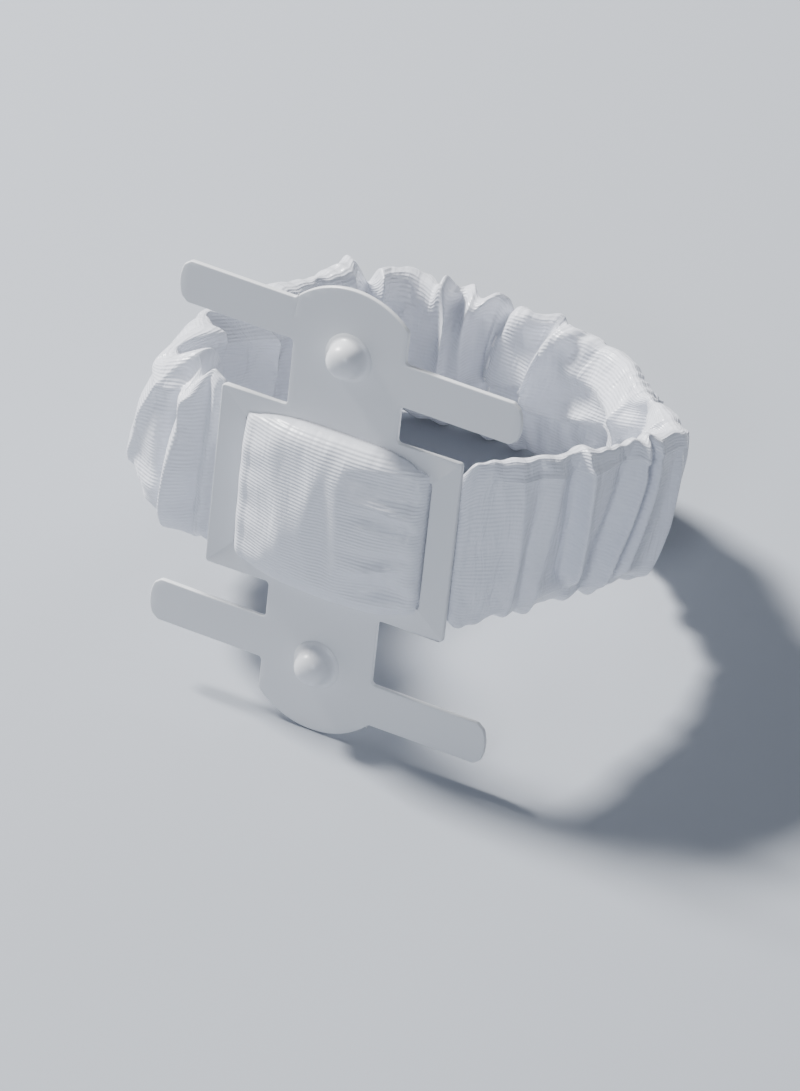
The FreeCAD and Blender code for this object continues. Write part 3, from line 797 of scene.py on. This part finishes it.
def ledge_field(ledges, place, level):
    height = np.zeros_like(place + level)
    for first, first_level, last, last_level, rise, above, below, soft_first, soft_last in ledges:
        line = first_level + (last_level - first_level) * np.clip((place - first) / (last - first), 0, 1)
        ends = smooth((place - first) / soft_first + 0.5) * smooth((last - place) / soft_last + 0.5)
        height += rise * crest(level - line, below, above, 1.6) * ends
    return height


def loose_pleats(first, last, spacing, height, gap):
    """Pleats where the sleeve isn't seen closely: uneven, and leaning either way."""
    pleats = []
    place = first
    while place < last:
        low = place + rng.uniform(-1.6, 1.6)
        rise = height * rng.uniform(0.55, 1.2)
        before, after = rng.uniform(0.8, 2.6, 2)
        pleats.append((low, place, rise, before, after, rng.uniform(-0.4, 0.15), rng.uniform(0.9, 1.4),
                       rng.uniform(-0.5, 0.5)))
        pleats.append((low + gap, place + gap, -0.7 * rise, 1.0, 1.2, -0.3, 1.3, 0.0))
        place += spacing * rng.uniform(0.7, 1.35)
    return pleats


def skin_offset(at, level, face, ring_end, free):
    """How far the skin stands off the middle of the wall, and how far its folds lean along the ring."""
    from_clip = smooth((np.minimum(at, ring_end - at) + 0.2) / 7.0)
    half = 0.62 + (1.5 + 1.0 * smooth((110.0 - at) / 70.0)) * from_clip
    belly = 0.6 * np.exp(-((at - 21.0) / 11.0) ** 2) * (1 - 0.9 * (2 * level - 1) ** 2)
    unseen = loose_pleats(38.0, 98.0, 6.0, 1.2, 2.4) + loose_pleats(104.0, 146.0, 9.0, 0.8, 3.0)
    outer_height, outer_lean = pleat_field(OUTER_PLEATS + tuple(unseen), at, level)
    inner_height, inner_lean = pleat_field(INNER_PLEATS, at, level)
    outer_height = outer_height + ledge_field(OUTER_LEDGES, at, level) + belly
    inner_height = inner_height + ledge_field(INNER_LEDGES, at, level)
    outer_share = np.clip(face, 0, 1) ** 0.7
    inner_share = np.clip(-face, 0, 1) ** 0.7
    outside = np.maximum(half * face + outer_height * outer_share * free, 0.7 * outer_share)
    inside = np.minimum(half * face - inner_height * inner_share * free, -0.7 * inner_share)
    lean = (outer_lean * outer_share + inner_lean * inner_share) * free
    return np.where(face >= 0, outside, inside), lean


def edge_moves(at, level, free):
    """How far the ruffled upper edge and the scalloped lower edge move up, and the upper one outward."""
    rise = sum(amount * crest(at - peak, before, after, 1.9) for peak, amount, before, after in EDGE_PEAKS)
    sideways = sum(amount * np.exp(-((at - wave) / width) ** 2) for wave, amount, width in EDGE_WAVES)
    ripple = 0.10 * np.sin(at * 1.9 + 2.0 * np.sin(at * 0.31)) * smooth((at - 34) / 10)
    scallop = 0.45 * np.sin(at * 0.83 + 1.3 * np.sin(at * 0.27)) + 0.25 * np.sin(at * 1.57)
    top = smooth((level - 0.80) / 0.20)
    bottom = smooth((0.16 - level) / 0.16)
    up = (rise + ripple) * top * free + (0.45 + scallop) * bottom * free * 0.9
    return up, sideways * top * free


def blend_over_stretch(piece):
    """The piece's placement is baked into its mesh."""
    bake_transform(piece)


def make_ring():
    place, low, high, outward = ring_stations(RING_ROWS)
    ring_end = place[-1] + place[0]
    phase = np.arange(RING_COLUMNS) / RING_COLUMNS * 2 * math.pi - math.pi / 2
    level = 0.5 + 0.5 * signed_power(np.sin(phase), 0.78)
    face = signed_power(np.cos(phase), 0.72)
    at = place[:, None]
    free = smooth((np.minimum(at, ring_end - at) - 0.1) / 1.6)
    offset, lean = skin_offset(at, level, face, ring_end, free)
    up, sideways = edge_moves(at, level, free)
    offset = offset + sideways
    along = directions((low + high) / 2)
    points = (low[:, None] + (high - low)[:, None] * level[:, None] + outward[:, None] * offset[:, :, None]
              + along[:, None] * lean[:, :, None])
    points[:, :, 2] = np.maximum(points[:, :, 2] + up, FLOOR_GAP)
    firm = np.maximum(1 - free, 0.35 * (np.abs(level - 0.5) > 0.47))
    hold = np.clip(np.maximum(firm, 0.16), 0, 1)
    points = settle_tube(points, hold, grow=0.080, pressure=0.0, frames=13, most=1.3, bending=1.5,
                         reach=1.4)
    points[:, :, 2] = np.maximum(points[:, :, 2], FLOOR_GAP)
    steps = np.abs(np.diff(level, append=level[:1])) * 26.0 + np.abs(np.diff(face, append=face[:1])) * 2.4
    arc = np.cumsum(steps) - steps[0]
    cloth = np.stack(np.broadcast_arrays(at, arc), axis=-1)
    ring = mesh_piece("satin_ring", points * MM, tube_faces(RING_ROWS, RING_COLUMNS), SATIN,
                      cloth.reshape(-1, 2), float(steps.sum()))
    face_outward(ring)
    blend_over_stretch(ring)
    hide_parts("sleeve_left", "sleeve_right", "sleeve_back")
    make_closing_stitches(place, points, level, face)
    make_elastic_strip(low, high, outward, place, ring_end)


# One stitch: its radius at each share of its length. Then the level on the wall where each stitch starts.
STITCH_PROFILE = ((0.06, -0.08), (0.2, 0.02), (0.22, 0.5), (0.2, 0.98), (0.06, 1.08))
STITCH_STARTS = (0.22, 0.36, 0.50, 0.64, 0.78)


def make_closing_stitches(place, points, level, face):
    """Upright stitches on the inner side, where the sleeve's two ends are closed."""
    middle_x = points[:, :, 0].mean(axis=1) - ORIGIN[0] / MM
    at_back = place > 40
    row = int(np.argmin(np.where(at_back, np.abs(middle_x - SEAM_X), 1e9)))
    inner = [j for j in range(len(level)) if face[j] < -0.3]
    turns = 10
    angles = np.arange(turns) / turns * 2 * math.pi
    stitches, faces = [], []
    for start in STITCH_STARTS:
        first, last = (points[row, min(inner, key=lambda j: abs(level[j] - share))] + np.array([0, -0.12, 0])
                       for share in (start, start + 0.07))
        base = len(stitches) * turns
        faces += [tuple(base + index for index in loop) for loop in tube_faces(len(STITCH_PROFILE), turns)]
        for radius, share in STITCH_PROFILE:
            centre = first + (last - first) * share
            stitches.append(np.stack([centre[0] + radius * np.cos(angles),
                                      centre[1] + radius * np.sin(angles),
                                      np.full(turns, centre[2])], axis=-1))
    thread = mesh_piece("closing_stitches", np.array(stitches) * MM, faces, THREAD)
    face_outward(thread)
    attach(thread, "band_back")
    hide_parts("sleeve_closing_thread")


def strip_piece(name, low, high, outward, place, half_thickness):
    """A flat woven strip from its two edges and its outward direction, all in mm."""
    section = [(0.0, 0.8), (0.5, 1.0), (1.0, 0.8), (1.0, -0.8), (0.5, -1.0), (0.0, -0.8)]
    points = np.stack([low + (high - low) * share + outward * side * half_thickness
                       for share, side in section], axis=1)
    across = np.array([share * ELASTIC_WIDTH for share, side in section])
    cloth = np.stack(np.broadcast_arrays(place[:, None], across), axis=-1)
    strip = mesh_piece(name, points * MM, tube_faces(len(points), len(section)), ELASTIC,
                       cloth.reshape(-1, 2))
    face_outward(strip)
    return strip


def make_elastic_strip(low, high, outward, place, ring_end):
    """The elastic inside the sleeve, round the wrist."""
    ring = np.flatnonzero((place > 0.4) & (place < ring_end - 0.4))[::3]
    low, wide = low[ring], (high - low)[ring]
    strip = strip_piece("elastic_strip", low + wide * 0.14, low + wide * 0.86, outward[ring], place[ring],
                        0.42)
    blend_over_stretch(strip)
    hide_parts("elastic_left", "elastic_right", "elastic_back")


def make_elastic_lacing():
    """The elastic that goes in front of the centre web, through the slots and behind the side bars."""
    half_way = [(0.0, -1.25), (6.0, -1.25), (11.8, -1.2), (12.7, -0.95), (13.1, -0.3), (13.3, 0.3),
                (13.7, 0.95), (14.6, 1.6), (17.0, LACING_DEPTH), (19.3, LACING_DEPTH)]
    way = np.array([(-u, d) for u, d in half_way[:0:-1]] + half_way)
    along = directions(way)
    outward = along[:, 1:2] * AXES[0] - along[:, 0:1] * AXES[2]
    low, high = (clip_point(way[:, 0], half, way[:, 1]) / MM for half in (-8.7, 8.7))
    lacing = strip_piece("elastic_lacing", low, high, outward, run_length(way), 0.4)
    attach(lacing, "clip")
    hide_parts("elastic_front")


def finish_lap_thread():
    """The CAD stitches on the elastic's lap stay shown, inside the sleeve."""
    piece = frame["nodes"]["elastic_lap_thread"]
    piece.data.materials.clear()
    piece.data.materials.append(THREAD)


# ---------------------------------------------------------------- camera, floor and light
def make_camera():
    away = Vector((math.sin(AZIMUTH) * math.cos(ELEVATION), -math.cos(AZIMUTH) * math.cos(ELEVATION),
                   math.sin(ELEVATION)))
    right = Vector((math.cos(AZIMUTH), math.sin(AZIMUTH), 0))
    target = CLIP + right * AIM_RIGHT - away.cross(right) * AIM_DOWN
    data = bpy.data.cameras.new("camera")
    data.sensor_fit = "VERTICAL"
    data.sensor_height = SENSOR
    data.lens = LENS
    data.clip_start, data.clip_end = 0.1, 20
    camera = bpy.data.objects.new("camera", data)
    camera.location = target + away * DISTANCE
    camera.rotation_mode = "QUATERNION"
    camera.rotation_quaternion = (-away).to_track_quat("-Z", "Y")
    bpy.context.scene.collection.objects.link(camera)
    bpy.context.scene.camera = camera


def make_floor():
    mesh = bpy.data.meshes.new("floor")
    mesh.from_pydata([(-3, -3, 0), (3, -3, 0), (3, 3, 0), (-3, 3, 0)], [], [(0, 1, 2, 3)])
    floor = bpy.data.objects.new("floor", mesh)
    bpy.context.scene.collection.objects.link(floor)
    mesh.materials.append(new_material("floor", (0.38, 0.405, 0.45), 0.8)[0])


def add_area_light(name, place, energy, size, color):
    data = bpy.data.lights.new(name, "AREA")
    data.energy = energy
    data.size = size
    data.color = color
    light = bpy.data.objects.new(name, data)
    light.location = place
    light.rotation_mode = "QUATERNION"
    light.rotation_quaternion = (CLIP - Vector(place)).to_track_quat("-Z", "Y")
    bpy.context.scene.collection.objects.link(light)


def make_lights():
    add_area_light("key", (-0.80, 0.14, 0.86), 40.0, 0.20, (1.0, 0.99, 0.97))
    add_area_light("fill", (0.34, -1.05, 0.72), 5.5, 0.22, (0.84, 0.90, 1.0))
    add_area_light("rim", (0.2, 1.0, 0.7), 3.0, 0.5, (0.93, 0.96, 1.0))
    world = bpy.data.worlds.new("studio")
    world.use_nodes = True
    world.node_tree.nodes["Background"].inputs["Color"].default_value = (0.80, 0.86, 1.0, 1)
    world.node_tree.nodes["Background"].inputs["Strength"].default_value = 0.14
    bpy.context.scene.world = world


make_clip()
make_stud("upper", 1)
make_stud("lower", -1)
make_bed()
make_ring()
make_elastic_lacing()
finish_lap_thread()
make_camera()
make_floor()
make_lights()
